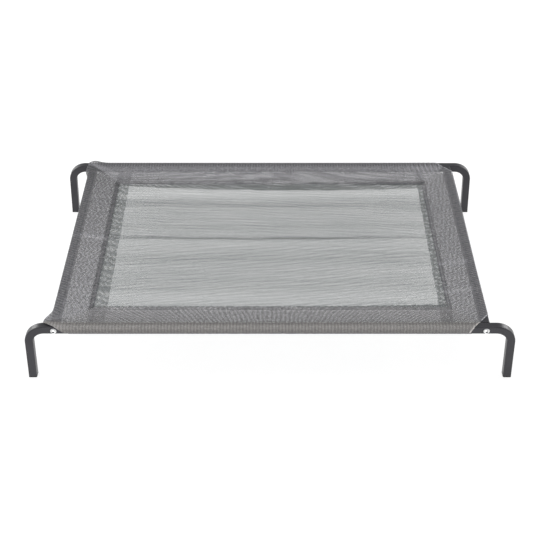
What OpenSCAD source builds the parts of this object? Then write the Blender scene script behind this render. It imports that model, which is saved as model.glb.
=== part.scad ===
// Raised dog cot: a bolted frame of square steel tube that carries a stretched
// deck of open textile mesh. Millimetres, +Z up, front towards -Y, and the origin
// on the floor at the middle of the cot.

/* [Overall size] */
// Length over the outer faces of the feet, at the floor
cot_length = 1300; // [900:10:1600]
// Depth over the front and rear rails
cot_depth = 800; // [500:10:1100]
// Height of the underside of the rails above the floor
rail_underside = 155.5; // [110:0.5:300]

/* [Square tube] */
// Side of the square tube
tube = 22; // [18:0.5:30]
// Wall of the tube
tube_wall = 1.2; // [0.8:0.1:2]
// Outer radius of the tube's long edges
tube_corner = 3; // [2.5:0.25:5]
// Radius of each leg bend at the tube's centre line
bend_radius = 43; // [30:1:70]
// Angle by which each leg splays outwards from upright
leg_splay = 3; // [0:0.5:8]

/* [Side rails] */
// Straight length of rail left between a side rail and the start of the leg bend
side_rail_inset = 16; // [8:1:80]

/* [Rail spigots] */
// Length of the spigot that joins the two halves of a long rail
spigot_length = 160; // [80:5:300]
// Wall of the spigot
spigot_wall = 1.5; // [1:0.1:2.5]
// Slip-fit gap on each side of the spigot
spigot_gap = 0.15; // [0.05:0.05:0.3]

/* [Corner bolts] */
// Diameter of the bolt's shank
bolt_d = 8; // [5:1:10]
// Length of the bolt under its head
bolt_length = 45; // [38:1:60]
// Height of the bevelled point at the end of the bolt
bolt_point = 1; // [0.5:0.1:2]
// Diameter of the bolt's domed head
head_d = 14; // [10:0.5:16]
// Height of the bolt's domed head
head_h = 4.4; // [2.5:0.1:6]
// Width across the flats of the hex socket
socket_af = 5; // [3:0.5:6]
// Depth of the hex socket
socket_depth = 2.6; // [1.5:0.1:4]
// Diameter of the washer
washer_d = 16; // [12:0.5:18]
// Thickness of the washer
washer_t = 1.6; // [1:0.1:2.5]
// Gap round the shank in the rail's holes and in the washer
bolt_gap = 0.3; // [0.1:0.05:0.5]

/* [Nut plugs] */
// Length of the threaded plug in each end of a side rail
plug_length = 32; // [24:1:60]
// Depth of the plug's outer face inside the end of the side rail
plug_recess = 1; // [0:0.5:4]
// Gap on each side of the plug inside the tube
plug_gap = 0.1; // [0:0.05:0.3]
// Gap round the shank in the plug's thread
thread_gap = 0.1; // [0.05:0.05:0.2]

/* [Foot caps] */
// Thickness of the cap's flange under the end of the leg
foot_flange = 4; // [2:0.5:8]
// Length of the cap's plug inside the leg
foot_plug = 24; // [14:1:40]
// Wall of the cap's plug
foot_wall = 2; // [1.2:0.1:3]
// Number of gripping fins round the plug
foot_fins = 3; // [2:1:4]
// Height of one fin
fin_h = 2; // [1:0.25:3]
// Gap between a fin and the inside of the leg
fin_gap = 0.1; // [0.05:0.05:0.3]
// Step from a fin down to the body of the plug
fin_reach = 0.8; // [0.4:0.1:1.2]

/* [Deck cloth] */
// Thickness of one layer of the mesh cloth
cloth_t = 1; // [0.6:0.1:1.5]
// Gap between the cloth and the tube inside a sleeve
cloth_gap = 0.3; // [0.1:0.05:0.5]
// Depth of each sleeve, from the outer face of its rail to the seam
sleeve_depth = 84; // [60:1:120]
// Width of the sewn band, where the sleeve grips the panel's edge
seam_width = 15; // [8:1:25]
// Width of the sleeve's underlap beyond the sewn band
underlap = 25; // [5:1:40]
// Distance of the panel below the middle of the rails
panel_drop = 1.5; // [0:0.5:8]
// Leg of the slanting cut that bares each corner of the frame
corner_cut = 42; // [30:1:56]

/* [Hidden] */
$fn = 64;
// Flats along each quarter turn of the cloth round a rail
fold_steps = 8;
// Margin by which a cutting shape stands past what it cuts
past = 1;
// Smallest radius inside a tube, where its wall takes up the outer one
least_radius = 0.1;

frame_color = "#3c3e42";
steel_color = "#c9cbcd";
cap_color = "#1d1e20";
cloth_color = "#8b8d8c";

// How far the tube's wall swells on each face in the drawn bend, and how far the
// straight runs lap into it
bend_swell = 0.05;
bend_lap = 0.5;

rail_top = rail_underside + tube;
rail_z = rail_underside + tube / 2;
bore = tube - 2 * tube_wall;
bore_corner = tube_corner - tube_wall;

bend_angle = 90 - leg_splay;
// Height at which the bend runs out into the straight leg
leg_top_z = rail_z - bend_radius * (1 - cos(bend_angle));
// Half the length of a long rail up to the start of its bend
bend_start = cot_length / 2 - tube / 2 / cos(leg_splay)
    - leg_top_z * tan(leg_splay) - bend_radius * sin(bend_angle);
// Length of the straight leg's centre line down to the floor
leg_run = leg_top_z / cos(leg_splay);

rail_y = cot_depth / 2 - tube / 2;
side_rail_x = bend_start - side_rail_inset - tube / 2;
side_rail_length = cot_depth - 2 * tube;
side_face_x = side_rail_x + tube / 2;

panel_z = rail_z - panel_drop;
sleeve_reach = sleeve_depth + seam_width + underlap;

// Square with rounded corners, centred
module rounded_square(side, radius) {
    square([side, side - 2 * radius], center = true);
    square([side - 2 * radius, side], center = true);
    for (sx = [-1, 1], sy = [-1, 1])
        translate([sx, sy] * (side / 2 - radius)) circle(r = radius);
}

// Hollow section of a square tube, centred
module tube_section(side, radius, wall) {
    difference() {
        rounded_square(side, radius);
        rounded_square(side - 2 * wall, max(radius - wall, least_radius));
    }
}

// Mirrors a right-hand piece to the left, and a front piece to the rear
module to_corner(side, end) {
    mirror([side < 0 ? 1 : 0, 0, 0]) mirror([0, end > 0 ? 1 : 0, 0]) children();
}

// Extrudes a section along +X from the middle of the cot
module along_x(length) {
    rotate([90, 0, 90]) linear_extrude(length) children();
}

// Extrudes a section along +Y
module along_y(length) {
    rotate([-90, 0, 0]) linear_extrude(length) children();
}

// Places a piece at the centre of the front right bend, which turns about +Z there,
// from the rail towards the leg
module at_bend() {
    translate([bend_start, -rail_y, rail_z - bend_radius]) rotate([-90, -90, 0]) children();
}

// Places a piece on the axis of the front right leg, with +Z running down the leg
module on_leg_axis() {
    at_bend() rotate([0, 0, bend_angle]) translate([bend_radius, 0, 0]) rotate([-90, 0, 0]) children();
}

// All the space round the front right foot between two levels
module level_slab(bottom, top) {
    reach = 4 * tube;
    translate([cot_length / 2 - reach, -rail_y - reach, bottom])
        cube([2 * reach, 2 * reach, top - bottom]);
}

// One half of a long rail: the straight run from the middle of the cot, the bend
// and the splayed leg, in one length of tube, drilled through for the corner bolt
module leg_rail() {
    color(frame_color) difference() {
        union() {
            translate([0, -rail_y, rail_z]) along_x(bend_start + bend_lap)
                tube_section(tube, tube_corner, tube_wall);
            at_bend() rotate_extrude(angle = bend_angle) translate([bend_radius, 0])
                tube_section(tube + 2 * bend_swell, tube_corner + bend_swell, tube_wall + 2 * bend_swell);
            on_leg_axis() translate([0, 0, -bend_lap]) linear_extrude(leg_run + tube)
                tube_section(tube, tube_corner, tube_wall);
        }
        level_slab(-2 * tube, foot_flange);
        translate([side_rail_x, -cot_depth / 2 - past, rail_z])
            along_y(tube + 2 * past) circle(d = bolt_d + 2 * bolt_gap);
    }
}

// Inner tube that lines up and joins the two halves of a long rail
module rail_spigot() {
    color(frame_color) translate([-spigot_length / 2, -rail_y, rail_z]) along_x(spigot_length)
        tube_section(bore - 2 * spigot_gap, bore_corner - spigot_gap, spigot_wall);
}

// Straight tube between the inner faces of the front and rear rails
module side_rail() {
    color(frame_color) translate([side_rail_x, -side_rail_length / 2, rail_z])
        along_y(side_rail_length) tube_section(tube, tube_corner, tube_wall);
}

// Threaded steel plug fixed in the end of a side rail, which the corner bolt draws up on
module nut_plug() {
    color(steel_color) translate([side_rail_x, plug_recess - side_rail_length / 2, rail_z])
        along_y(plug_length) difference() {
            rounded_square(bore - 2 * plug_gap, bore_corner - plug_gap);
            circle(d = bolt_d + 2 * thread_gap);
        }
}

// Half outline of the domed head, to be turned about its axis
module head_half() {
    dome_r = (pow(head_d / 2, 2) + pow(head_h, 2)) / (2 * head_h);
    intersection() {
        translate([0, head_h - dome_r]) circle(r = dome_r);
        square([head_d / 2, head_h]);
    }
}

// Domed socket bolt, with its head on the outer face of the washer
module corner_bolt() {
    color(steel_color) translate([side_rail_x, -cot_depth / 2 - washer_t, rail_z]) rotate([90, 0, 0])
        difference() {
            union() {
                rotate_extrude() head_half();
                translate([0, 0, bolt_point - bolt_length])
                    cylinder(d = bolt_d, h = bolt_length - bolt_point);
                translate([0, 0, -bolt_length])
                    cylinder(d1 = bolt_d - 2 * bolt_point, d2 = bolt_d, h = bolt_point);
            }
            translate([0, 0, head_h - socket_depth])
                cylinder(d = socket_af / cos(30), h = socket_depth + past, $fn = 6);
        }
}

// Plain washer between the bolt's head and the rail
module corner_washer() {
    color(steel_color) translate([side_rail_x, -cot_depth / 2 - washer_t, rail_z])
        along_y(washer_t) difference() {
            circle(d = washer_d);
            circle(d = bolt_d + 2 * bolt_gap);
        }
}

// Moulded cap under a leg: a flange to the tube's own outline and a hollow plug
// with square fins that grip the inside of the tube
module foot_cap() {
    fin_side = bore - 2 * fin_gap;
    body_side = fin_side - 2 * fin_reach;
    fin_pitch = foot_plug / (foot_fins + 1);
    seat = leg_run - foot_flange / cos(leg_splay);
    color(cap_color) {
        intersection() {
            on_leg_axis() translate([0, 0, seat - tube]) linear_extrude(3 * tube)
                rounded_square(tube, tube_corner);
            level_slab(0, foot_flange);
        }
        intersection() {
            on_leg_axis() difference() {
                union() {
                    translate([0, 0, seat - foot_plug]) linear_extrude(foot_plug + tube)
                        square(body_side, center = true);
                    for (i = [1:foot_fins])
                        translate([0, 0, seat - i * fin_pitch - fin_h / 2]) linear_extrude(fin_h)
                            rounded_square(fin_side, bore_corner - fin_gap);
                }
                translate([0, 0, seat - foot_plug - past]) linear_extrude(foot_plug + past - foot_wall)
                    square(body_side - 2 * foot_wall, center = true);
            }
            level_slab(foot_flange / 2, foot_flange + 2 * foot_plug);
        }
    }
}

// Points of an arc from one angle to another
function arc(centre, radius, from, to) = [
    for (i = [0:fold_steps])
        let (a = from + (to - from) * i / fold_steps)
        centre + radius * [cos(a), sin(a)]
];

// Outline round the outer side of the rail and the wedge of space behind it, at a
// given distance outside the tube, running on past the seam at half a height either
// side of the panel; the first axis runs inwards from the rail's outer face
module sleeve_outline(out, half_height, upper_end, lower_end) {
    polygon(concat(
        arc([tube_corner, rail_top - tube_corner], tube_corner + out, 90, 180),
        arc([tube_corner, rail_underside + tube_corner], tube_corner + out, 180, 270),
        [
            [tube - tube_corner, rail_underside - out],
            [sleeve_depth, panel_z - half_height],
            [lower_end, panel_z - half_height],
            [lower_end, panel_z],
            [upper_end, panel_z],
            [upper_end, panel_z + half_height],
            [sleeve_depth, panel_z + half_height],
            [tube - tube_corner, rail_top + out]
        ]
    ));
}

// Section of a sleeve: a strip of cloth folded round the rail, whose two ends grip
// the edge of the panel in the sewn band; the lower end runs on as an underlap
module sleeve_section() {
    difference() {
        sleeve_outline(cloth_gap + cloth_t, cloth_t / 2 + cloth_t, sleeve_depth + seam_width, sleeve_reach);
        sleeve_outline(cloth_gap, cloth_t / 2, sleeve_reach + past, sleeve_reach + 2 * past);
    }
}

// Plan of a sleeve: mitred where two sleeves meet and cut on the slant at the
// corner of the frame; the second axis runs inwards from the rail's outer face
module sleeve_plan(half_length) {
    outside = tube;
    inside = sleeve_reach + past;
    polygon([
        [corner_cut + outside - half_length, -outside],
        [half_length - corner_cut - outside, -outside],
        [half_length - corner_cut / 2, corner_cut / 2],
        [half_length - inside, inside],
        [inside - half_length, inside],
        [corner_cut / 2 - half_length, corner_cut / 2]
    ]);
}

// A sleeve along X, with the outer face of its rail on Y = 0
module sleeve(half_length) {
    intersection() {
        translate([-half_length, 0, 0]) along_x(2 * half_length) sleeve_section();
        linear_extrude(rail_top + tube) sleeve_plan(half_length);
    }
}

// Sleeve of the front or rear rail
module long_sleeve(end) {
    color(cloth_color) mirror([0, end > 0 ? 1 : 0, 0])
        translate([0, -cot_depth / 2, 0]) sleeve(side_face_x);
}

// Sleeve of the left or right side rail
module side_sleeve(side) {
    color(cloth_color) rotate([0, 0, side * 90])
        translate([0, -side_face_x, 0]) sleeve(cot_depth / 2);
}

// Open textile mesh of the deck, one layer, gripped along its edges by the sleeves
module mesh_panel() {
    color(cloth_color) translate([0, 0, panel_z])
        cube([2 * (side_face_x - sleeve_depth), cot_depth - 2 * sleeve_depth, cloth_t], center = true);
}

// Repeats a front right piece at the four corners
module at_all_corners() {
    for (side = [-1, 1], end = [-1, 1]) to_corner(side, end) children();
}

to_corner(-1, -1) leg_rail();  // front_left_leg_rail
to_corner(1, -1) leg_rail();  // front_right_leg_rail
to_corner(-1, 1) leg_rail();  // rear_left_leg_rail
to_corner(1, 1) leg_rail();  // rear_right_leg_rail
to_corner(1, -1) rail_spigot();  // front_rail_spigot
to_corner(1, 1) rail_spigot();  // rear_rail_spigot
to_corner(-1, -1) side_rail();  // left_side_rail
to_corner(1, -1) side_rail();  // right_side_rail
to_corner(-1, -1) nut_plug();  // front_left_nut_plug
to_corner(1, -1) nut_plug();  // front_right_nut_plug
to_corner(-1, 1) nut_plug();  // rear_left_nut_plug
to_corner(1, 1) nut_plug();  // rear_right_nut_plug
at_all_corners() corner_bolt();  // corner_bolts
at_all_corners() corner_washer();  // corner_washers
to_corner(-1, -1) foot_cap();  // front_left_foot_cap
to_corner(1, -1) foot_cap();  // front_right_foot_cap
to_corner(-1, 1) foot_cap();  // rear_left_foot_cap
to_corner(1, 1) foot_cap();  // rear_right_foot_cap
mesh_panel();
long_sleeve(-1);  // front_sleeve
long_sleeve(1);  // rear_sleeve
side_sleeve(-1);  // left_sleeve
side_sleeve(1);  // right_sleeve
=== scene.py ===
"""Raised dog cot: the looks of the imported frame, its fittings and its stretched mesh deck."""

import math
from types import SimpleNamespace

import bpy
import numpy as np
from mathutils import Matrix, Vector


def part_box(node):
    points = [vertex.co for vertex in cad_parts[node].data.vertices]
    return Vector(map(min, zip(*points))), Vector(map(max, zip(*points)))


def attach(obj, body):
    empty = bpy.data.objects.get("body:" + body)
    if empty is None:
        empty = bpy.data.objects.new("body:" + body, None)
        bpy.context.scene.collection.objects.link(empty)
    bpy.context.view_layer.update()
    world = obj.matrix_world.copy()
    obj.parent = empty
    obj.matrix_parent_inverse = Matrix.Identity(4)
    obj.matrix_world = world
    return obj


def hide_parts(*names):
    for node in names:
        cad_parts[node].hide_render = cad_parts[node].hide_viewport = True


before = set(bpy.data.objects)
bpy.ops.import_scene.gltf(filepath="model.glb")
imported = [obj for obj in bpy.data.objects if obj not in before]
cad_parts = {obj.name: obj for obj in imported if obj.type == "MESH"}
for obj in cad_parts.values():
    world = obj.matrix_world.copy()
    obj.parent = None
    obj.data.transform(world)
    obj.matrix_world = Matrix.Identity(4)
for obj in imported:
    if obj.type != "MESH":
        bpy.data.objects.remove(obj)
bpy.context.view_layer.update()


# Rails, legs and spigots
# Square steel tube, bent and cut before it was painted, with a satin charcoal
# powder coat. The long rails come in two halves, pushed together on a spigot.
class Shade:
    """One output of a material's nodes. Arithmetic on it adds Math nodes to the material."""

    def __init__(self, tree, socket):
        self.tree = tree
        self.socket = socket

    def node(self, kind, settings, values, out=0):
        """Adds a node of any kind, sets its settings and sockets, and gives one of its outputs."""
        made = self.tree.nodes.new(kind)
        for name, setting in settings.items():
            setattr(made, name, setting)
        for key, value in values.items():
            if isinstance(value, Shade):
                self.tree.links.new(value.socket, made.inputs[key])
            else:
                made.inputs[key].default_value = value
        return Shade(self.tree, made.outputs[out])

    def math(self, operation, first, second=0.0):
        return self.node("ShaderNodeMath", {"operation": operation}, {0: first, 1: second})

    def __add__(self, other):
        return self.math("ADD", self, other)

    def __radd__(self, other):
        return self.math("ADD", other, self)

    def __sub__(self, other):
        return self.math("SUBTRACT", self, other)

    def __rsub__(self, other):
        return self.math("SUBTRACT", other, self)

    def __mul__(self, other):
        return self.math("MULTIPLY", self, other)

    def __rmul__(self, other):
        return self.math("MULTIPLY", other, self)

    def __truediv__(self, other):
        return self.math("DIVIDE", self, other)

    def fract(self):
        return self.math("FRACT", self)

    def floor(self):
        return self.math("FLOOR", self)

    def abs(self):
        return self.math("ABSOLUTE", self)

    def max(self, other):
        return self.math("MAXIMUM", self, other)

    def sine(self, period=1):
        return self.math("SINE", self * (2 * math.pi / period))

    def ramp_between(self, low, high):
        """0 below low, 1 above high and smooth between them; low above high turns it round."""
        return self.node(
            "ShaderNodeMapRange",
            {"interpolation_type": "SMOOTHSTEP"},
            {0: self, 1: low, 2: high, 3: 0.0, 4: 1.0},
        )

    def blend(self, first, second):
        """A colour between two colours, by this share."""
        return self.node("ShaderNodeMix", {"data_type": "RGBA"}, {0: self, 6: first, 7: second}, out=2)

    def bump(self, strength, distance):
        """A normal from this height, which stands for a distance in metres."""
        return self.node("ShaderNodeBump", {}, {"Strength": strength, "Distance": distance, "Height": self})

    def noise(self, place, scale, detail=2.0, roughness=0.5):
        return self.node(
            "ShaderNodeTexNoise",
            {"noise_dimensions": "3D"},
            {"Vector": place, "Scale": scale, "Detail": detail, "Roughness": roughness},
        )


def new_material(name, constants):
    """A material with one Principled shader; its unchanging values are set on the shader's own sockets."""
    material = bpy.data.materials.new(name)
    material.use_nodes = True
    tree = material.node_tree
    shader = next(n for n in tree.nodes if n.type == "BSDF_PRINCIPLED")
    for socket, value in constants.items():
        shader.inputs[socket].default_value = value
    return material, shader, Shade(tree, None)


def object_place(shade):
    return shade.node("ShaderNodeTexCoord", {}, {}, out="Object")


def drive(shader, links):
    """Feeds shader sockets from nodes."""
    for socket, value in links.items():
        value.tree.links.new(value.socket, shader.inputs[socket])


def paint_node(name, material):
    """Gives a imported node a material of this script."""
    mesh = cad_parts[name].data
    mesh.materials.clear()
    mesh.materials.append(material)


coat_dark = (0.0175, 0.0170, 0.0215, 1.0)
coat_light = (0.0260, 0.0255, 0.0310, 1.0)
coat_cloud_scale = 14.0
coat_peel_scale = 900.0
coat_peel_height = 0.0003
coat, coat_shader, coat_shade = new_material("charcoal_powder_coat", {"Specular IOR Level": 0.45})
coat_place = object_place(coat_shade)
coat_cloud = coat_shade.noise(coat_place, coat_cloud_scale, detail=3.0)
coat_peel = coat_shade.noise(coat_place, coat_peel_scale, detail=1.0)
drive(coat_shader, {
    "Base Color": coat_cloud.ramp_between(0.3, 0.7).blend(coat_dark, coat_light),
    "Roughness": 0.32 + 0.08 * coat_peel,
    "Normal": coat_peel.bump(0.12, coat_peel_height),
})
for rail in (
    "front_left_leg_rail", "front_right_leg_rail", "rear_left_leg_rail", "rear_right_leg_rail",
    "front_rail_spigot", "rear_rail_spigot", "left_side_rail", "right_side_rail",
):
    paint_node(rail, coat)

# Foot caps
# Caps of black plastic, moulded with a fine matt grain and a little scuffed,
# each pushed into the open end of a leg.
cap_black = (0.012, 0.012, 0.013, 1.0)
cap_scuffed = (0.030, 0.030, 0.031, 1.0)
cap_grain_scale = 1600.0
cap_grain_height = 0.0002
cap_scuff_scale = 120.0
cap, cap_shader, cap_shade = new_material("moulded_black_plastic", {"Specular IOR Level": 0.35})
cap_place = object_place(cap_shade)
cap_grain = cap_shade.noise(cap_place, cap_grain_scale, detail=2.0)
cap_scuff = cap_shade.noise(cap_place, cap_scuff_scale, detail=4.0)
drive(cap_shader, {
    "Base Color": cap_scuff.ramp_between(0.45, 0.8).blend(cap_black, cap_scuffed),
    "Roughness": 0.55 + 0.2 * cap_grain,
    "Normal": cap_grain.bump(0.25, cap_grain_height),
})
for foot in ("front_left_foot_cap", "front_right_foot_cap", "rear_left_foot_cap", "rear_right_foot_cap"):
    paint_node(foot, cap)

# Corner bolts, washers and nut plugs
# Zinc-plated steel. Each bolt passes through the long rail and draws the side
# rail up by the threaded plug in its end. The bolts' sockets are painted dark
# inside, as painted shade in the recess.
side_low, side_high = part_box("right_side_rail")
bolt_axis_x = (side_low.x + side_high.x) / 2
bolt_axis_z = (side_low.z + side_high.z) / 2
# Within this radius round the bolt's axis the socket is painted dark, as painted shade.
socket_radius = 0.0031
socket_blur = 0.0004
socket_painted_shade = (0.20, 0.20, 0.21, 1.0)
plate_dull = (0.74, 0.75, 0.76, 1.0)
plate_bright = (0.92, 0.92, 0.91, 1.0)
plate_cloud_scale = 260.0
zinc, zinc_shader, zinc_shade = new_material("bright_zinc_plate", {"Metallic": 1.0})
zinc_place = object_place(zinc_shade)
zinc_cloud = zinc_shade.noise(zinc_place, plate_cloud_scale, detail=4.0)
off_axis_x = zinc_shade.node("ShaderNodeSeparateXYZ", {}, {0: zinc_place}, out=0).abs() - bolt_axis_x
off_axis_z = zinc_shade.node("ShaderNodeSeparateXYZ", {}, {0: zinc_place}, out=2) - bolt_axis_z
off_axis = zinc_shade.math("SQRT", off_axis_x * off_axis_x + off_axis_z * off_axis_z)
plate = zinc_cloud.ramp_between(0.3, 0.7).blend(plate_dull, plate_bright)
# Painted shade inside the socket's recess.
outside_socket_shade = off_axis.ramp_between(socket_radius - socket_blur, socket_radius)
drive(zinc_shader, {
    "Base Color": outside_socket_shade.blend(socket_painted_shade, plate),
    "Roughness": 0.24 + 0.16 * zinc_cloud,
})
for fitting in (
    "corner_bolts", "corner_washers",
    "front_left_nut_plug", "front_right_nut_plug", "rear_left_nut_plug", "rear_right_nut_plug",
):
    paint_node(fitting, zinc)

# Deck mesh
# One layer of open plain weave in coated yarn, see-through, folded in its
# packing and now stretched flat. Its edges are sewn between the sleeves' layers.
yarn_pitch = 0.0017
yarn_share = 0.45
yarn_blur = 0.06
yarn_height = 0.0004
light_yarn = (0.245, 0.231, 0.218, 1.0)
dark_yarn = (0.122, 0.134, 0.148, 1.0)
deck_cast = (0.935, 1.02, 1.015, 1.0)
warm_cast = (1.035, 1.0, 0.965, 1.0)
yarn_attributes = (
    "yarn_width", "yarn_tone", "yarn_mottle", "yarn_stripe", "yarn_twill", "yarn_lines", "yarn_warmth",
)

# Streaks along the cot: share, and how fine they are along and across it.
streak_grains = ((0.4, 1.2, 36.0), (0.35, 5.0, 90.0), (0.20, 12.0, 220.0))
streak_mean = sum(share for share, along, across in streak_grains) / 2
mottle_grain = 115.0

# Fine lines in the weave: yarns to a line, how far it leans, and its strength in the rear and the front
# half. They drift by so many yarns, and the two halves blend over a band of yarns.
deck_lines = (
    (9.0, -0.05, 0.6, 0.0), (7.6, -0.11, 0.7, 0.0), (10.0, 0.195, 0.0, 0.75), (6.5, 0.12, 0.0, 0.8),
)
line_drift = 40.0
drift_grain = (1.5, 3.0)
halves_blend = 30.0
stripe_yarns = 5
rib_rise = 6
rib_run = 12


def weave_material(name, streaks, families, cast):
    """Open plain weave on the piece's unrolled cloth coordinates, in metres. Streaks and drifting lines
    vary the width of the yarns that run along the cot, and cast tints them all. Seven attributes of the
    piece work place by place: yarn_width and yarn_tone widen and lighten the yarns, yarn_mottle clouds
    their brightness, yarn_stripe sets off every fifth of the yarns that run across the cot, yarn_twill
    adds a slanted rib, yarn_lines brings out the drifting lines, and yarn_warmth turns the cast warm."""
    material, shader, shade = new_material(name, {"Specular IOR Level": 0.3, "Sheen Weight": 0.1})
    cloth = shade.node("ShaderNodeUVMap", {"uv_map": "cloth"}, {}, out="UV")
    width, tone, mottling, stripe, twill, lines, warmth = (
        shade.node("ShaderNodeAttribute", {"attribute_name": label}, {}, out="Fac")
        for label in yarn_attributes
    )

    def grain(along, across):
        scale = (along, across, 1.0)
        stretched = shade.node("ShaderNodeVectorMath", {"operation": "MULTIPLY"}, {0: cloth, 1: scale})
        return shade.noise(stretched, 1.0, detail=2.0, roughness=0.6)

    streak = sum(share * grain(along, across) for share, along, across in streak_grains) - streak_mean
    mottle = grain(mottle_grain, mottle_grain)
    u = shade.node("ShaderNodeSeparateXYZ", {}, {0: cloth}, out=0) / yarn_pitch
    v = shade.node("ShaderNodeSeparateXYZ", {}, {0: cloth}, out=1) / yarn_pitch
    from_warp = (u.fract() - 0.5).abs()
    from_weft = (v.fract() - 0.5).abs()
    half = yarn_share / 2 * width
    warp = 1.0 - (from_warp - half).ramp_between(-yarn_blur, yarn_blur)
    front_half = v.ramp_between(halves_blend, -halves_blend)
    beat = 0.0
    for yarns, lean, rear_share, front_share in families:
        drift = line_drift / yarns * grain(*drift_grain)
        wave = ((v - lean * u) / yarns + drift).sine()
        beat = beat + wave * (rear_share + (front_share - rear_share) * front_half)
    weft_width = half * (1.0 + streaks * streak + lines * beat)
    weft = 1.0 - (from_weft - weft_width).ramp_between(-yarn_blur, yarn_blur)
    over = ((u.floor() + v.floor()) * 0.5).fract() * 2.0
    warp_shows = warp * (1.0 - weft * over)
    stripes = u.sine(stripe_yarns)
    ribs = shade.math("SINE", v * (2 * math.pi / rib_rise) + u * (2 * math.pi / rib_run))
    light = tone * (1.0 + stripe * stripes + twill * ribs) * (1.0 + mottling * (mottle - 0.5))
    warp_crown = (1.0 - from_warp * 2.0) * (1.0 - 0.5 * over)
    weft_crown = (1.0 - from_weft * 2.0) * (0.5 + 0.5 * over)
    tinted = shade.node(
        "ShaderNodeVectorMath",
        {"operation": "MULTIPLY"},
        {0: warp_shows.blend(dark_yarn, light_yarn), 1: warmth.blend(cast, warm_cast)},
    )
    lit = shade.node("ShaderNodeVectorMath", {"operation": "SCALE"}, {0: tinted, "Scale": light})
    drive(shader, {
        "Base Color": lit,
        "Roughness": 0.5 + 0.25 * mottle,
        "Alpha": warp.max(weft),
        "Normal": (warp_crown + weft_crown).bump(0.35, yarn_height),
    })
    return material


tube = side_high.x - side_low.x
rail_top = side_high.z
rail_bottom = side_low.z
face_x = side_high.x
face_y = side_high.y + tube
panel_low, panel_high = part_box("mesh_panel")
panel_z = (panel_low.z + panel_high.z) / 2
cloth_t = panel_high.z - panel_low.z

# As sewn, the four seams don't lie at quite the same distance from their rails.
seam_width = 0.012
seam_start = {"front": 0.084, "rear": 0.097, "left": 0.091, "right": 0.089}

# The packing's main fold crosses the deck near its middle, a little bowed, and two lesser
# ones lie behind it and in front of it: place across the deck, and height.
fold_place = 0.0095
fold_bow = 0.0025
fold_wobble = 0.001
fold_depth = 0.0016
fold_width = 0.006
lesser_folds = ((0.207, 0.0010), (-0.216, -0.0010))
lesser_fold_width = 0.012
wave_height = 0.0006


def bump_at(value, centre, width):
    """A smooth hump of height 1 round a centre."""
    return np.exp(-((value - centre) / width) ** 2)


def fold_line(x):
    """Where the packing's main fold crosses the deck."""
    return fold_place - fold_bow * np.cos(7.0 * x) + fold_wobble * np.sin(31.0 * x)


def cloth_relief(x, y):
    """Height of the deck's folds and waves above the stretched surface, anywhere on the deck."""
    relief = wave_height * np.sin(7.0 * x + 2.0 * np.sin(5.0 * y)) * np.cos(9.0 * y + 1.3)
    relief = relief - fold_depth * bump_at(y, fold_line(x), fold_width)
    for place, height in lesser_folds:
        relief = relief + height * bump_at(y, place, lesser_fold_width)
    return relief


def turned(x, y, degrees, along_stretch=1.0, depth_stretch=1.0):
    """Cloth coordinates of a layer whose weave lies at a small angle to the cot."""
    a = np.radians(degrees)
    along = x * np.cos(a) - y * np.sin(a)
    depth = x * np.sin(a) + y * np.cos(a)
    return np.stack([along * along_stretch, depth * depth_stretch], -1)


def sheet_object(name, points, cloth, yarn, material):
    """A smooth sheet from a grid of points, each with its unrolled cloth coordinates and yarn attributes."""
    rows, columns = points.shape[:2]
    mesh = bpy.data.meshes.new(name)
    index = np.arange(rows * columns).reshape(rows, columns)
    faces = np.stack([index[:-1, :-1], index[:-1, 1:], index[1:, 1:], index[1:, :-1]], axis=-1)
    mesh.from_pydata(points.reshape(-1, 3).tolist(), [], faces.reshape(-1, 4).tolist())
    loops = np.zeros(len(mesh.loops), np.int32)
    mesh.loops.foreach_get("vertex_index", loops)
    flat = cloth.reshape(-1, 2)[loops].astype(np.float32)
    mesh.uv_layers.new(name="cloth").data.foreach_set("uv", flat.ravel())
    for label, value in yarn.items():
        attribute = mesh.attributes.new(label, "FLOAT", "POINT")
        attribute.data.foreach_set("value", value.astype(np.float32).ravel())
    mesh.polygons.foreach_set("use_smooth", np.ones(len(mesh.polygons), bool))
    mesh.materials.append(material)
    mesh.update()
    made = bpy.data.objects.new(name, mesh)
    bpy.context.scene.collection.objects.link(made)
    return made


# Waves left by the packing: place across the deck, width, and how far the yarns close up and darken.
# Beside the main fold this darkening and lightening is painted shade and light on the fold's slopes.
# The main fold's shade fades towards the ends of the deck, and the yarns thin towards its edges.
packing_waves_and_shading = (
    (0.140, 0.110, 0.035), (0.240, 0.022, -0.05), (0.182, 0.024, 0.14), (0.067, 0.014, 0.08),
    (0.016, 0.006, 0.09), (-0.016, 0.012, -0.08), (-0.085, 0.024, 0.09), (-0.208, 0.026, 0.05),
    (-0.258, 0.020, -0.07),
)
wave_wander = 0.003
fold_shade_width = 0.0055
fold_fades_at = (-0.46, -0.33, 0.20, 0.40)
fold_strength = (0.35, 1.0, 1.0, 0.30)
deck_yarn_width = 1.02
deck_yarn_tone = 0.98
edge_thinning = 0.08
edge_reach = 0.090
deck_turn = 0.4
deck_columns = 160
deck_rows = 260
panel_weave = weave_material("open_mesh_weave", 1.8, deck_lines, deck_cast)
deck_x, deck_y = np.meshgrid(
    np.linspace(seam_start["left"] - face_x, face_x - seam_start["right"], deck_columns),
    np.linspace(seam_start["front"] - face_y, face_y - seam_start["rear"], deck_rows),
)
deck_fold = bump_at(deck_y, fold_line(deck_x), fold_shade_width)
deck_fold = deck_fold * (0.85 + 0.15 * np.sin(9.0 * deck_x + 1.0))
deck_fold = deck_fold * np.interp(deck_x, fold_fades_at, fold_strength)
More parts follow.
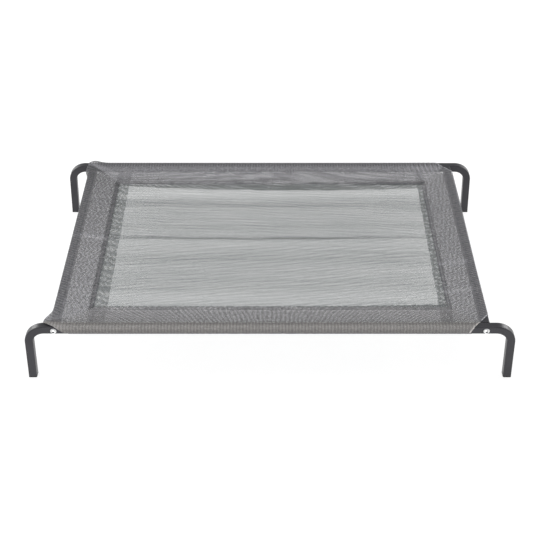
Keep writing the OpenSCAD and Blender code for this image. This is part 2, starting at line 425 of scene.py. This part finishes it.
# Darker where the yarns close up, and painted shade and light on the main fold's slopes.
deck_closed_and_shaded = 0.0
for wave_y, wave_width, closed in packing_waves_and_shading:
    wandering = deck_y + wave_wander * np.sin(5.0 * deck_x + 40.0 * wave_y)
    deck_closed_and_shaded = deck_closed_and_shaded + closed * bump_at(wandering, wave_y, wave_width)
from_side = np.minimum(deck_x - deck_x.min(), deck_x.max() - deck_x)
from_edge = np.minimum(from_side, np.minimum(deck_y - deck_y.min(), deck_y.max() - deck_y))
deck_open = deck_yarn_width - edge_thinning * np.exp(-((from_edge / edge_reach) ** 2))
deck = sheet_object(
    "deck_mesh",
    np.stack([deck_x, deck_y, panel_z + cloth_relief(deck_x, deck_y)], -1),
    turned(deck_x, deck_y, deck_turn),
    {
        "yarn_width": deck_open * (1 + 0.55 * deck_fold + deck_closed_and_shaded),
        "yarn_tone": deck_yarn_tone - 0.25 * deck_fold - deck_closed_and_shaded,
        "yarn_mottle": np.full_like(deck_x, 1.1),
        "yarn_stripe": np.full_like(deck_x, 0.03),
        "yarn_twill": np.full_like(deck_x, 0.02),
        "yarn_lines": np.full_like(deck_x, 0.18),
        "yarn_warmth": np.zeros_like(deck_x),
    },
    panel_weave,
)
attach(deck, "root")
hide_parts("mesh_panel")

# Sleeves
# Strips of the same mesh, folded double round each rail. Both edges are sewn to
# the deck, the lower one with a raw edge past the seam. The right ends are cut on
# the slant and bare the frame's corners; the left ends lie loose over theirs.
sleeve_cast = (0.965, 0.960, 1.014, 1.0)
sleeve_lines = ((8.0, -0.30, 1.0, 0.0), (6.0, -0.12, 0.6, 0.0))
sleeve_weave = weave_material("folded_mesh_weave", 1.0, sleeve_lines, sleeve_cast)
side_rails = ("left", "right")
outward = {"front": -1, "rear": 1, "left": -1, "right": 1}
seat_gap = 0.0008
fold_radius = 0.0036
lift_margin = 0.002
lift_off = tube - lift_margin
column_step = 0.003


def place_on(rail, inward, along):
    """Place on the cot, by the distance in from a rail's outer face and the way along the rail."""
    if rail in side_rails:
        return outward[rail] * (face_x - inward), along
    return along, outward[rail] * (face_y - inward)


def line(start, end, count):
    """Points along a line, without its last one."""
    share = np.linspace(0, 1, count, endpoint=False)[:, None]
    return np.array(start) + share * (np.array(end) - np.array(start))


def arc(centre, radius, first, last, count):
    """Points round an arc, without its last one, from one angle to another in degrees."""
    angle = np.radians(np.linspace(first, last, count, endpoint=False))
    return np.array(centre) + radius * np.stack([np.cos(angle), np.sin(angle)], -1)


def folded_section(start, underlap):
    """Inward distance from the rail's outer face and height, along the strip from its upper sewn edge,
    over the rail, round its outer side and back to its lower raw edge; then the row where it turns under."""
    high = rail_top + seat_gap
    low = rail_bottom - seat_gap
    out = fold_radius - seat_gap
    upper = panel_z + cloth_t
    lower = panel_z - cloth_t
    sewn_edge = start + seam_width
    over = np.concatenate([
        line((sewn_edge, upper), (start, upper), count=6),
        line((start, upper), (lift_off, high), count=20),
        line((lift_off, high), (out, high), count=7),
        arc((out, high - fold_radius), fold_radius, 90, 180, count=6),
        line((-seat_gap, high - fold_radius), (-seat_gap, low + fold_radius), count=7),
    ])
    under = np.concatenate([
        arc((out, low + fold_radius), fold_radius, 180, 270, count=6),
        line((out, low), (lift_off, low), count=5),
        line((lift_off, low), (start, lower), count=18),
        line((start, lower), (sewn_edge, lower), count=5),
        line((sewn_edge, lower), (sewn_edge + underlap, lower), count=6),
        [[sewn_edge + underlap, lower]],
    ])
    return np.concatenate([over, under]), len(over)


# A bared corner is cut back along a slant. A covered one runs on to a tip on the
# long rail, and flares out from the side rail: tip, then the flare's size, centre and width.
long_cut = 0.043
side_cut = 0.050
covered_reach = 0.050
covered = {"front_left": (0.017, 0.019, 0.014, 0.040), "rear_left": (0.010, 0.009, 0.042, 0.030)}
flare_start = 0.004
flare_reach = 0.055
tip_slope = 1.9
drop_slope = 1.25
tuck_margin = 0.003
tuck_end = tube + tuck_margin


def rising(value, start, run):
    """0 up to a start, and from there up to 1 over a run."""
    return np.clip((value - start) / run, 0, 1)


def flare(corner, along, inward):
    """How far a corner's cloth stands out from the side rail, by its distances from the two outer faces."""
    if corner not in covered:
        return 0.0 * along
    size, centre, width = covered[corner][1:]
    near_edge = 1 - rising(inward, flare_start, flare_reach)
    return size * np.exp(-np.abs((along - centre) / width) ** 3) * near_edge ** 2 * (3 - 2 * near_edge)


def corner_ratio(corner):
    """How far the mitre between two sleeves runs along the side rail for each step along the long rail."""
    end, side = corner.split("_")
    return (seam_start[end] + seam_width) / (seam_start[side] + seam_width)


def side_row_end(corner, unrolled):
    """Distance from the long rail's outer face at which an upper row of a side sleeve ends."""
    ratio = corner_ratio(corner)
    if corner in covered:
        tip = covered[corner][0]
        over = tip + unrolled * (covered_reach * ratio - tip) / covered_reach
        return np.where(unrolled > covered_reach, unrolled * ratio, np.where(unrolled > 0, over, tuck_end))
    slanted = side_cut - np.where(unrolled > 0, unrolled * side_cut / long_cut, unrolled / 2)
    return np.where(unrolled > side_cut / (ratio + side_cut / long_cut), unrolled * ratio, slanted)


def long_row_end(corner, unrolled):
    """Distance from the side rail's outer face at which an upper row of a long sleeve ends."""
    ratio = corner_ratio(corner)
    if corner in covered:
        tip = covered[corner][0]
        side = (unrolled - tip) * covered_reach / (covered_reach * ratio - tip)
        over = side - flare(corner, unrolled, side)
        over = np.where(unrolled > covered_reach * ratio, unrolled / ratio, over)
        edge = tip_slope * (tip - np.maximum(unrolled, 0)) - drop_slope * np.minimum(unrolled, 0)
        return np.where(unrolled > tip, over, edge - flare(corner, tip, 0.0))
    slanted = long_cut - np.where(unrolled > 0, unrolled * long_cut / side_cut, unrolled / 2)
    return np.where(unrolled > side_cut * ratio / (ratio + side_cut / long_cut), unrolled / ratio, slanted)


def lower_row_end(corner, inward, along_side):
    """The same for the rows that run back under the rail; a side sleeve's sewn and raw edges are tucked
    into the long sleeve, and a long sleeve's stop at the side seam."""
    end, side = corner.split("_")
    start = seam_start[side if along_side else end]
    other = seam_start[end if along_side else side]
    mitre = np.maximum(inward * (other + seam_width) / (start + seam_width), side_cut - inward)
    tucked = tuck_end if along_side else other + seam_width
    return np.where(inward > start, np.minimum(tucked, mitre), mitre)


# Slack cloth at the left corners: height, place and width along the cot, and place across it.
slack_puffs = (
    (0.008, 0.012 - face_x, 0.024, face_y - 0.006),
    (0.0025, -0.002 - face_x, 0.026, 0.014 - face_y),
)
puff_depth = 0.022

# Pleats at the right corners: front or rear, spacing, lean, height and the painted highlight on
# their crests; then where they lie.
corner_pleats = ((-1, 0.0116, 0.34, 0.0007, 0.12), (1, 0.0138, 0.21, 0.0006, 0.55))
pleats_x, pleats_reach_x = 0.496, 0.056
pleats_y, pleats_reach_y = 0.362, 0.045
pleat_run = 0.96

# Ridges that run in from the rear left corner: a point on them and the direction across them, then each
# one's place along that direction, width and share of the height.
ridge_point = (-0.522, 0.354)
ridge_across = (0.391, 0.921)
corner_ridges = ((0.006, 0.010, 1.0), (-0.024, 0.007, 0.4))
ridges_x, ridges_reach = -0.555, 0.055
ridges_spread = 0.06
ridge_height = 0.0027
# Painted highlight on the ridges' crests.
ridge_highlight = 0.5


def corner_puffs(x, y):
    """Height of the slack cloth that stands up at the left corners."""
    return sum(
        height * bump_at(x, puff_x, width) * bump_at(y, puff_y, puff_depth)
        for height, puff_x, width, puff_y in slack_puffs
    )


def corner_gathers(x, y):
    """Height of the gathers that run in from three of the corners, the painted highlight on their crests,
    and how far each place is gathered."""
    height = 0.0
    crest_highlights = 0.0
    gathered = 0.0
    for end, spacing, lean, fullness, light in corner_pleats:
        slant = pleat_run * x + lean * end * y
        patch = bump_at(x, pleats_x, pleats_reach_x) * bump_at(y, end * pleats_y, pleats_reach_y)
        pleats = patch * (1 + np.sin(2 * math.pi * slant / spacing))
        height = height + fullness * pleats
        # Painted highlight on the pleats' crests.
        crest_highlights = crest_highlights + light * pleats
        gathered = gathered + patch
    across = ridge_across[0] * (x - ridge_point[0]) + ridge_across[1] * (y - ridge_point[1])
    patch = bump_at(x, ridges_x, ridges_reach)
    ridges = patch * sum(share * bump_at(across, place, width) for place, width, share in corner_ridges)
    gathered = np.minimum(1, gathered + patch * bump_at(across, 0.0, ridges_spread))
    return height + ridge_height * ridges, crest_highlights + ridge_highlight * ridges, gathered


# The deck's relief builds up towards the inside of a sleeve, and is less in its lower layer. Gathers
# and puffs die out down the rail's outer face. The right sleeve bulges out towards the rear, and the
# side sleeves' raw edges droop.
relief_builds = (0.012, 0.02)
under_relief = 0.5
face_reach = 0.014
bulge_size = 0.0025
bulge_builds = (-0.15, 0.3)
bulge_reach = 0.018
raw_droop = 0.0006


def lay_strip(rail, underlap, ragged):
    """A rail's folded strip as a grid of places, with what each belongs to. Its rows lie along the rail,
    from the upper sewn edge over the rail to the lower raw edge, which ragged shifts along its length."""
    along_side = rail in side_rails
    start = seam_start[rail]
    half_length = face_y if along_side else face_x
    others = ("front", "rear") if along_side else side_rails
    corners = [f"{other}_{rail}" if along_side else f"{rail}_{other}" for other in others]
    ends = [
        SimpleNamespace(corner=corner, sign=sign, other_seam=seam_start[other])
        for corner, sign, other in zip(corners, (-1, 1), others)
    ]
    section, turning = folded_section(start, underlap)
    run = np.concatenate([[0.0], np.cumsum(np.linalg.norm(np.diff(section, axis=0), axis=1))])
    unrolled = start + seam_width - run
    upper = np.arange(len(section)) < turning
    row_end = side_row_end if along_side else long_row_end
    reach = []
    for corner in corners:
        under_end = lower_row_end(corner, section[:, 0], along_side)
        reach.append(half_length - np.where(upper, row_end(corner, unrolled), under_end)[:, None])

    columns = int(2 * half_length / column_step)
    share = np.linspace(0, 1, columns)[None, :]
    along = -reach[0] * (1 - share) + reach[1] * share
    inward = np.repeat(section[:, :1], columns, 1)
    height = np.repeat(section[:, 1:], columns, 1)
    unrolled = np.repeat(unrolled[:, None], columns, 1)
    upper = upper[:, None]
    raw = np.where(upper, 0.0, rising(inward - start, seam_width, underlap))
    inward = inward + raw * ragged(along)
    off_rail = upper & (inward > lift_off)
    if along_side:
        loose = rising(height, rail_bottom, tube)
        for end in ends:
            inward = inward - loose * flare(end.corner, half_length - end.sign * along, inward)
    settled = (inward - lift_off) / (start - lift_off)
    for end in ends:
        from_end = half_length - end.sign * along
        settled = np.minimum(settled, (from_end - lift_off) / (end.other_seam - lift_off))
    on_deck = rail_top + seat_gap + np.clip(settled, 0, 1) * (panel_z + cloth_t - rail_top - seat_gap)
    height = np.where(off_rail, on_deck, height)
    nearest = np.minimum(inward, half_length - abs(along))
    if rail == "right":
        near_face = np.clip(1.2 - inward / bulge_reach, 0, 1)
        inward = inward - bulge_size * rising(along, *bulge_builds) * near_face

    x, y = place_on(rail, inward, along)
    slack = rising(nearest, *relief_builds) * np.where(upper, 1.0, under_relief)
    on_top = np.where(upper, np.clip(1 + (height - rail_top) / face_reach, 0, 1), 0.0)
    free = np.where(inward > tube, upper, on_top)
    gathers, crest_highlights, gathered = corner_gathers(x, y)
    puffs = free * corner_puffs(x, y)
    droop = raw_droop * raw if along_side else 0.0
    z = height + slack * cloth_relief(x, y) + free * gathers + puffs - droop
    return SimpleNamespace(
        rail=rail, along_side=along_side, start=start, half_length=half_length, ends=ends,
        flat=(2 * half_length, run[-1]), along=along, inward=inward, unrolled=unrolled,
        upper=upper, raw=raw, x=x, y=y, z=z,
        free=free, crest_highlights=crest_highlights, gathered=gathered, puffs=puffs,
    )


# Where two sleeves' seams meet, the seam fades out in the lower layer, and a tight one is darker.
hair = 1e-6
seam_fade = 0.004
crossing_reach = 0.009
rail_margin = 0.001


def mark_parts(strip):
    """Marks the parts of a strip that look different: its seam, the places where another seam crosses
    it, the cloth on the rail and the raw edge past the seam."""
    from_seam = strip.inward - strip.start
    strip.in_seam = ((from_seam > -hair) & (from_seam < seam_width + hair)).astype(float)
    strip.crossed = 0.0
    for end in strip.ends:
        from_end = strip.half_length - end.sign * strip.along
        faded = rising(from_end, end.other_seam, seam_fade)
        strip.in_seam = strip.in_seam * np.where(strip.upper, 1.0, faded)
        strip.crossed = strip.crossed + bump_at(from_end, end.other_seam + seam_width / 2, crossing_reach)
    strip.over_rail = np.where(strip.upper & (strip.unrolled < tube - rail_margin), 1.0, 0.0)
    strip.past_seam = np.minimum(1, 6 * strip.raw)


# The next places are a start with the length over which a look builds up, or a middle with a width.
front_edge_darkens = (0.05, 0.30)


def front_looks(strip, yarn):
    """The front sleeve is close and warm on the rail, and its raw edge is dark towards the right."""
    dark_edge = np.minimum(1, 3 * strip.raw) * rising(strip.x, *front_edge_darkens)
    yarn.width = yarn.width + 0.20 * strip.over_rail + 0.40 * dark_edge
    yarn.tone = yarn.tone * (1 - 0.25 * dark_edge)
    yarn.warmth = strip.over_rail + 0.3 * strip.upper * (1 - strip.over_rail)


rear_seam_tightens = (0.15, 0.2)
rear_edge_lightens = (0.05, 0.25)
close_band = (0.036, 0.011)
lines_across = (0.056, 0.014)
lines_along = (-0.09, 0.20)
light_band_place = 0.066
light_band_lean = 0.018
light_band_width = 0.012


def rear_looks(strip, yarn):
    """The rear sleeve is close near the rail, with fine lines and a light band further in. It puckers where
    its seam is slack, and its raw edge is light towards the right."""
    x, upper, unrolled = strip.x, strip.upper, strip.unrolled
    light_edge = strip.past_seam * rising(x, *rear_edge_lightens)
    light_band = upper * bump_at(unrolled, light_band_place + light_band_lean * x, light_band_width)
    puckers = np.clip(np.sin(150 * x + 4 * np.sin(23 * x)), 0, 1) * (1 - rising(x, *rear_seam_tightens))
    yarn.width = yarn.width + 0.25 * upper * bump_at(unrolled, *close_band)
    yarn.width = yarn.width + 0.35 * strip.past_seam - 0.45 * light_edge
    yarn.tone = yarn.tone * (1 - 0.35 * strip.in_seam * upper * puckers) * (1 + 0.5 * light_edge)
    yarn.tone = yarn.tone * (1 + 0.22 * light_band * (1 - np.clip(x, 0, 0.5)))
    yarn.lines = 0.5 * upper * bump_at(unrolled, *lines_across) * (0.3 + 0.7 * bump_at(x, *lines_along))


rear_darkening = {"left": 0.60, "right": 0.15}
seam_edge_inset = 0.001
seam_edge_width = 0.0018
clouds_build = (0.055, 0.04)


def side_looks(strip, yarn):
    """A side sleeve has dark lines along its seam's edges, is closer and darker to the rear, and less cloudy
    near the front. The left one's raw edge is light."""
    if strip.rail == "left":
        yarn.width = yarn.width - 0.14 * strip.past_seam
        yarn.tone = yarn.tone * (1 + 0.45 * strip.past_seam)
    from_seam = strip.inward - strip.start
    seam_edges = bump_at(from_seam, seam_edge_inset, seam_edge_width)
    seam_edges = seam_edges + bump_at(from_seam, seam_width - seam_edge_inset, seam_edge_width)
    darker = rear_darkening[strip.rail] * strip.y
    yarn.width = yarn.width * (1 + 0.4 * darker)
    yarn.tone = yarn.tone * (1 - 0.35 * strip.in_seam * seam_edges) * (1 - darker)
    yarn.mottle = yarn.mottle * np.maximum(0.3, rising(strip.half_length + strip.along, *clouds_build))


own_looks = {"front": front_looks, "rear": rear_looks, "left": side_looks, "right": side_looks}

# How light the upper layer looks along its strip: distance in mm from the rail's outer
# edge, then tone. The yarns close up where the cloth turns over an edge of the rail, and the
# tone also paints the highlight and sheen that the cloth catches on and beside the rail.
side_tone_and_sheen = ((-24, 1.0), (3, 1.06), (12, 0.97), (20, 0.92), (26, 1.0))
strip_tone_and_sheen = {
    "front": (
        (-24, 0.95), (-12, 0.99), (-6, 1.17), (0, 1.60), (4, 1.72), (7, 1.52), (13, 1.10), (20, 1.05),
        (21, 0.64), (25, 0.78), (30, 0.86), (45, 0.97), (60, 1.05), (84, 1.08),
    ),
    "rear": (
        (-24, 1.0), (0, 0.92), (15, 0.92), (22, 1.34), (30, 1.50), (36, 1.50), (42, 1.40), (48, 1.22),
        (54, 1.22), (66, 1.24), (75, 1.20), (84, 1.05), (97, 0.95),
    ),
    "left": side_tone_and_sheen,
    "right": side_tone_and_sheen,
}

# What all sleeves have in differing strength: tight seams, clouds off and on the rail, stripes on the rail,
# marks of the packing's folds (place and strength), and a painted highlight along the hems at the corners
# that are cut back.
tight_seams = {"front": 0.0, "rear": 1.0, "left": 1.0, "right": 0.5}
cloudy = {"front": 2.2, "rear": 1.3, "left": 2.8, "right": 1.9}
cloudy_on_rail = {"front": 0.8, "rear": 0.8, "left": 1.4, "right": 1.4}
striped_on_rail = {"front": 0.12, "rear": 0.26, "left": 0.0, "right": 0.0}
fold_marks = {"front": (), "rear": (), "left": ((0.008, 0.80),), "right": ((-0.115, 0.50), (-0.240, 0.45))}
fold_mark_width = 0.009
hem_highlight_tone = {"front_right": 2.4, "rear_right": 1.7}
hem_highlight_width = 1.9

# Loose cloth at the front left corner: place and width along the cot and across it.
loose_along = (0.006 - face_x, 0.030)
loose_across = (0.012 - face_y, 0.034)


def strip_yarn(strip, under_tone):
    """A sleeve's yarn attributes; under_tone lightens its lower layer."""
    mark_parts(strip)
    rail, upper, unrolled = strip.rail, strip.upper, strip.unrolled
    tightness = tight_seams[rail]
    if rail == "rear":
        tightness = tightness * np.maximum(0.1, rising(strip.x, *rear_seam_tightens))
    tight_seam = strip.in_seam * tightness
    slack_seam = strip.in_seam * (1 - tightness)
    loose_patch = upper * bump_at(strip.x, *loose_along) * bump_at(strip.y, *loose_across)
    width = 1 + 0.40 * tight_seam - 0.35 * np.where(upper, 0.0, slack_seam)
    # The upper layer's tone is partly painted highlight and sheen.
    tone = np.where(upper, np.interp(1000 * unrolled, *np.array(strip_tone_and_sheen[rail]).T), under_tone)
    tone = tone * (1 - 0.20 * tight_seam + 0.30 * slack_seam) * (1 - 0.45 * tight_seam * strip.crossed)
    clouds = np.where(strip.over_rail > 0, cloudy_on_rail[rail], cloudy[rail])
    # Pleat and ridge crests carry a painted highlight, and gathered places a painted shade between them.
    yarn = SimpleNamespace(
        width=width + 60 * strip.puffs + 0.55 * loose_patch,
        tone=tone * (1 + strip.free * strip.crest_highlights) * (1 - 0.20 * strip.free * strip.gathered),
        mottle=clouds * (1 - 0.75 * strip.gathered),
        stripe=0.05 + striped_on_rail[rail] * strip.over_rail,
        twill=0.07 + 0.20 * strip.over_rail if strip.along_side else 0.03,
        lines=0.0,
        warmth=0.6 * strip.past_seam,
    )
    own_looks[rail](strip, yarn)
    # The hems at the cut-back corners get a painted highlight.
    cut_back = upper[:, 0] & (unrolled[:, 0] < long_cut / 2)
    for end, hem in zip(strip.ends, (slice(0, 2), slice(-2, None))):
        if end.corner in hem_highlight_tone:
            yarn.tone[cut_back, hem] = hem_highlight_tone[end.corner]
            yarn.width[cut_back, hem] = hem_highlight_width
    for fold, mark in fold_marks[rail]:
        marked = upper * (1 - 0.6 * strip.over_rail) * bump_at(strip.y, fold, fold_mark_width)
        yarn.tone = yarn.tone * (1 + mark * marked)
    return {f"yarn_{label}": value + 0 * strip.along for label, value in vars(yarn).items()}


yarn_wander = 0.00025


def strip_cloth(strip, lay, relaxed, fanned):
    """A sleeve's unrolled cloth coordinates. Its lower layer lies by the angle and the stretches of lay, its
    angle fans out by so many degrees a metre, and it draws in by the relaxed share past the seam."""
    rail, x, y, along = strip.rail, strip.x, strip.y, strip.along
    over_cloth = np.stack(place_on(rail, strip.unrolled, along), -1)
    zigzag = 2.4 * np.sin(190 * y + 25 * x) if strip.along_side else np.sin(140 * y + 60 * x)
    wander = yarn_wander * np.stack([zigzag + np.sin(53 * y), np.sin(97 * x + 71 * y)], -1)
    drawn_in = relaxed * outward[rail] * np.clip(strip.inward - strip.start - seam_width, 0, None)
    angle, *stretch = lay
    if strip.along_side:
        under_cloth = turned(x - drawn_in, y, angle + fanned * along, *stretch)
    else:
        seam_y = place_on(rail, strip.start, 0.0)[1]
        under_cloth = turned(x, y - seam_y - drawn_in, angle + fanned * along, *stretch)
    return np.where(strip.upper[..., None], over_cloth, under_cloth + wander)


# Two rows of stitches hold each seam.
stitch_inset = 0.003
stitch_sizes = {"Pitch": 0.0045, "Stitch length": 0.0034, "Thread radius": 0.00045}
stitch_spread = (0.85, 1.1)
stitch_seed = 7
seam_points = 240


def stitch_tree():
    """Geometry Nodes that lay one stitch after another along the edges of a mesh."""
    tree = bpy.data.node_groups.new("seam_stitches", "GeometryNodeTree")
    tree.interface.new_socket("Seams", in_out="INPUT", socket_type="NodeSocketGeometry")
    for label in stitch_sizes:
        tree.interface.new_socket(label, in_out="INPUT", socket_type="NodeSocketFloat")
    tree.interface.new_socket("Thread", in_out="INPUT", socket_type="NodeSocketMaterial")
    tree.interface.new_socket("Seed", in_out="INPUT", socket_type="NodeSocketInt")
    tree.interface.new_socket("Stitches", in_out="OUTPUT", socket_type="NodeSocketGeometry")

    def add(kind, settings, values):
        made = tree.nodes.new(kind)
        for label, setting in settings.items():
            setattr(made, label, setting)
        for key, value in values.items():
            if isinstance(value, bpy.types.NodeSocket):
                tree.links.new(value, made.inputs[key])
            else:
                made.inputs[key].default_value = value
        return made.outputs

    given = tree.nodes.new("NodeGroupInput").outputs
    path = add("GeometryNodeMeshToCurve", {}, {"Mesh": given["Seams"]})
    spaced = {"Curve": path[0], "Length": given["Pitch"]}
    steps = add("GeometryNodeResampleCurve", {"mode": "LENGTH"}, spaced)
    knot = add("GeometryNodeMeshUVSphere", {}, {"Segments": 6, "Rings": 4, "Radius": 0.5})
    tangent = add("GeometryNodeInputTangent", {}, {})
    lie = add("FunctionNodeAlignRotationToVector", {"axis": "Z"}, {"Vector": tangent[0]})
    wide = add("ShaderNodeMath", {"operation": "MULTIPLY"}, {0: given["Thread radius"], 1: 2.0})
    size = add("ShaderNodeCombineXYZ", {}, {"X": wide[0], "Y": wide[0], "Z": given["Stitch length"]})
    spread = {2: stitch_spread[0], 3: stitch_spread[1], "Seed": given["Seed"]}
    vary = add("FunctionNodeRandomValue", {"data_type": "FLOAT"}, spread)
    scale = add("ShaderNodeVectorMath", {"operation": "SCALE"}, {0: size[0], "Scale": vary[1]})
    laid = add(
        "GeometryNodeInstanceOnPoints",
        {},
        {"Points": steps[0], "Instance": knot["Mesh"], "Rotation": lie[0], "Scale": scale[0]},
    )
    real = add("GeometryNodeRealizeInstances", {}, {0: laid[0]})
    painted = add("GeometryNodeSetMaterial", {}, {"Geometry": real[0], "Material": given["Thread"]})
    result = tree.nodes.new("NodeGroupOutput")
    tree.links.new(painted[0], result.inputs["Stitches"])
    return tree


thread_dark = (0.075, 0.076, 0.080, 1.0)
thread_light = (0.150, 0.150, 0.152, 1.0)
thread_ply_scale = 1400.0
thread, thread_shader, thread_shade = new_material("grey_sewing_thread", {"Specular IOR Level": 0.25})
thread_ply = thread_shade.noise(object_place(thread_shade), thread_ply_scale, detail=1.0)
drive(thread_shader, {
    "Base Color": thread_ply.ramp_between(0.35, 0.65).blend(thread_dark, thread_light),
    "Roughness": 0.55 + 0.3 * thread_ply,
})
stitches = stitch_tree()
stitch_inputs = {**stitch_sizes, "Thread": thread, "Seed": stitch_seed}


def sew(name, rows):
    """Stitches along rows of points, as a plain mesh."""
    points = np.concatenate(rows)
    edges = []
    for first in range(0, len(points), seam_points):
        edges += [(i, i + 1) for i in range(first, first + seam_points - 1)]
    guide = bpy.data.meshes.new(name)
    guide.from_pydata(points.tolist(), edges, [])
    made = bpy.data.objects.new(name, guide)
    bpy.context.scene.collection.objects.link(made)
    modifier = made.modifiers.new("stitches", "NODES")
    modifier.node_group = stitches
    for item in stitches.interface.items_tree:
        if item.name in stitch_inputs:
            modifier[item.identifier] = stitch_inputs[item.name]
    done = bpy.data.meshes.new_from_object(made.evaluated_get(bpy.context.evaluated_depsgraph_get()))
    made.modifiers.remove(modifier)
    made.data = done
    done.polygons.foreach_set("use_smooth", np.ones(len(done.polygons), bool))
    return made


def sleeve(rail, underlap, ragged, lay, relaxed=0.0, under_tone=1.0, fanned=0.0):
    """A rail's folded sleeve, raw for the underlap past its seam, with its two rows of stitches."""
    strip = lay_strip(rail, underlap, ragged)
    made = sheet_object(
        f"{rail}_sleeve_cloth",
        np.stack([strip.x, strip.y, strip.z], -1),
        strip_cloth(strip, lay, relaxed, fanned),
        strip_yarn(strip, under_tone),
        sleeve_weave,
    )
    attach(made, "root")
    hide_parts(f"{rail}_sleeve")

    rows = []
    for inset in (stitch_inset, seam_width - stitch_inset):
        first, last = (end.other_seam + inset for end in strip.ends)
        lengthwise = np.linspace(first - strip.half_length, strip.half_length - last, seam_points)
        seam_x, seam_y = place_on(rail, np.full_like(lengthwise, strip.start + inset), lengthwise)
        rows.append(np.stack([seam_x, seam_y, panel_z + cloth_t + cloth_relief(seam_x, seam_y)], -1))
    sewing = sew(f"{rail}_seam_stitches", rows)
    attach(sewing, "root")


sleeve(
    "front",
    underlap=0.0075,
    ragged=lambda x: 0.0013 * np.sin(240 * x + 3 * np.sin(37 * x)) + 0.006 * rising(x, 0.2, 0.25),
    lay=(0.0, 1.13, 1.13),
    fanned=16.0,
)
sleeve(
    "rear",
    underlap=0.026,
    ragged=lambda x: 0.004 + 0.016 * x - 0.08 * x * x + 0.0014 * np.sin(60 * x) * np.sin(23 * x),
    lay=(1.5, 1.0, 1.11),
    under_tone=0.88,
    fanned=-5.0,
)
sleeve(
    "left",
    underlap=0.033,
    ragged=lambda y: -0.006 * y + 0.0006 * np.sin(40 * y),
    lay=(0.5, 1.05, 1.06),
    relaxed=0.07,
    under_tone=1.22,
)
sleeve(
    "right",
    underlap=0.017,
    ragged=lambda y: -0.012 * y + 0.0014 * np.sin(70 * y) * np.sin(29 * y),
    lay=(4.0, 1.05, 1.08),
    relaxed=0.07,
)

# Floor, light and camera
# A white studio sweep with soft light from overhead, in front and behind, and a
# camera that looks down on the cot, square to its front.
floor_radius = 9.0
sweep_radius = 1.5
wall_height = 4.0
spokes = 96
sweep = np.radians(np.linspace(0, 90, 13))
profile = [(floor_radius + sweep_radius * math.sin(a), sweep_radius * (1 - math.cos(a))) for a in sweep]
profile.append((floor_radius + sweep_radius, wall_height))
around = np.linspace(0, 2 * math.pi, spokes, endpoint=False)
floor_points = [(r * math.cos(a), r * math.sin(a), z) for r, z in profile for a in around]
floor_faces = [tuple(range(spokes))]
for ring in range(len(profile) - 1):
    for i in range(spokes):
        j = (i + 1) % spokes
        floor_faces.append(tuple(spokes * (ring + up) + k for up, k in ((0, j), (0, i), (1, i), (1, j))))
floor_mesh = bpy.data.meshes.new("floor")
floor_mesh.from_pydata(floor_points, [], floor_faces)
floor_mesh.polygons.foreach_set("use_smooth", [False] + [True] * (len(floor_faces) - 1))
floor = bpy.data.objects.new("floor", floor_mesh)
bpy.context.scene.collection.objects.link(floor)
floor_paint = new_material(
    "white_sweep",
    {
        "Base Color": (0.38, 0.38, 0.38, 1),
        "Roughness": 0.9,
        "Specular IOR Level": 0.0,
        "Emission Color": (1, 1, 1, 1),
        "Emission Strength": 0.77,
    },
)[0]
floor_mesh.materials.append(floor_paint)

world = bpy.data.worlds.new("studio")
world.use_nodes = True
world.node_tree.nodes["Background"].inputs["Color"].default_value = (1, 1, 1, 1)
world.node_tree.nodes["Background"].inputs["Strength"].default_value = 0.5
bpy.context.scene.world = world


def softbox(name, place, target, size, power):
    """A rectangular light at a place, turned to a target."""
    lamp = bpy.data.lights.new(name, "AREA")
    lamp.shape = "RECTANGLE"
    lamp.size, lamp.size_y = size
    lamp.energy = power
    made = bpy.data.objects.new(name, lamp)
    made.location = place
    made.rotation_euler = (Vector(target) - Vector(place)).to_track_quat("-Z", "Y").to_euler()
    bpy.context.scene.collection.objects.link(made)


softbox("overhead_softbox", place=(0.0, 0.3, 2.6), target=(0, 0, 0), size=(3.0, 2.0), power=19.0)
softbox("front_softbox", place=(-0.6, -3.0, 1.3), target=(0, 0, 0.1), size=(2.4, 1.0), power=29.0)
softbox("rear_left_strip", place=(-3.25, 2.7, 1.2), target=(0, 0, 0.15), size=(0.8, 2.0), power=36.0)
softbox("rear_right_strip", place=(3.25, 2.7, 1.2), target=(0, 0, 0.15), size=(0.8, 2.0), power=36.0)

view_pitch = math.radians(38.07)
camera_data = bpy.data.cameras.new("camera")
camera_data.lens = 68.7
camera_data.sensor_width = 36.0
camera = bpy.data.objects.new("camera", camera_data)
camera.location = (0.0, -2.409, 1.941)
camera.rotation_euler = (math.pi / 2 - view_pitch, 0, 0)
bpy.context.scene.collection.objects.link(camera)
bpy.context.scene.camera = camera
bpy.context.scene.view_settings.view_transform = "Standard"
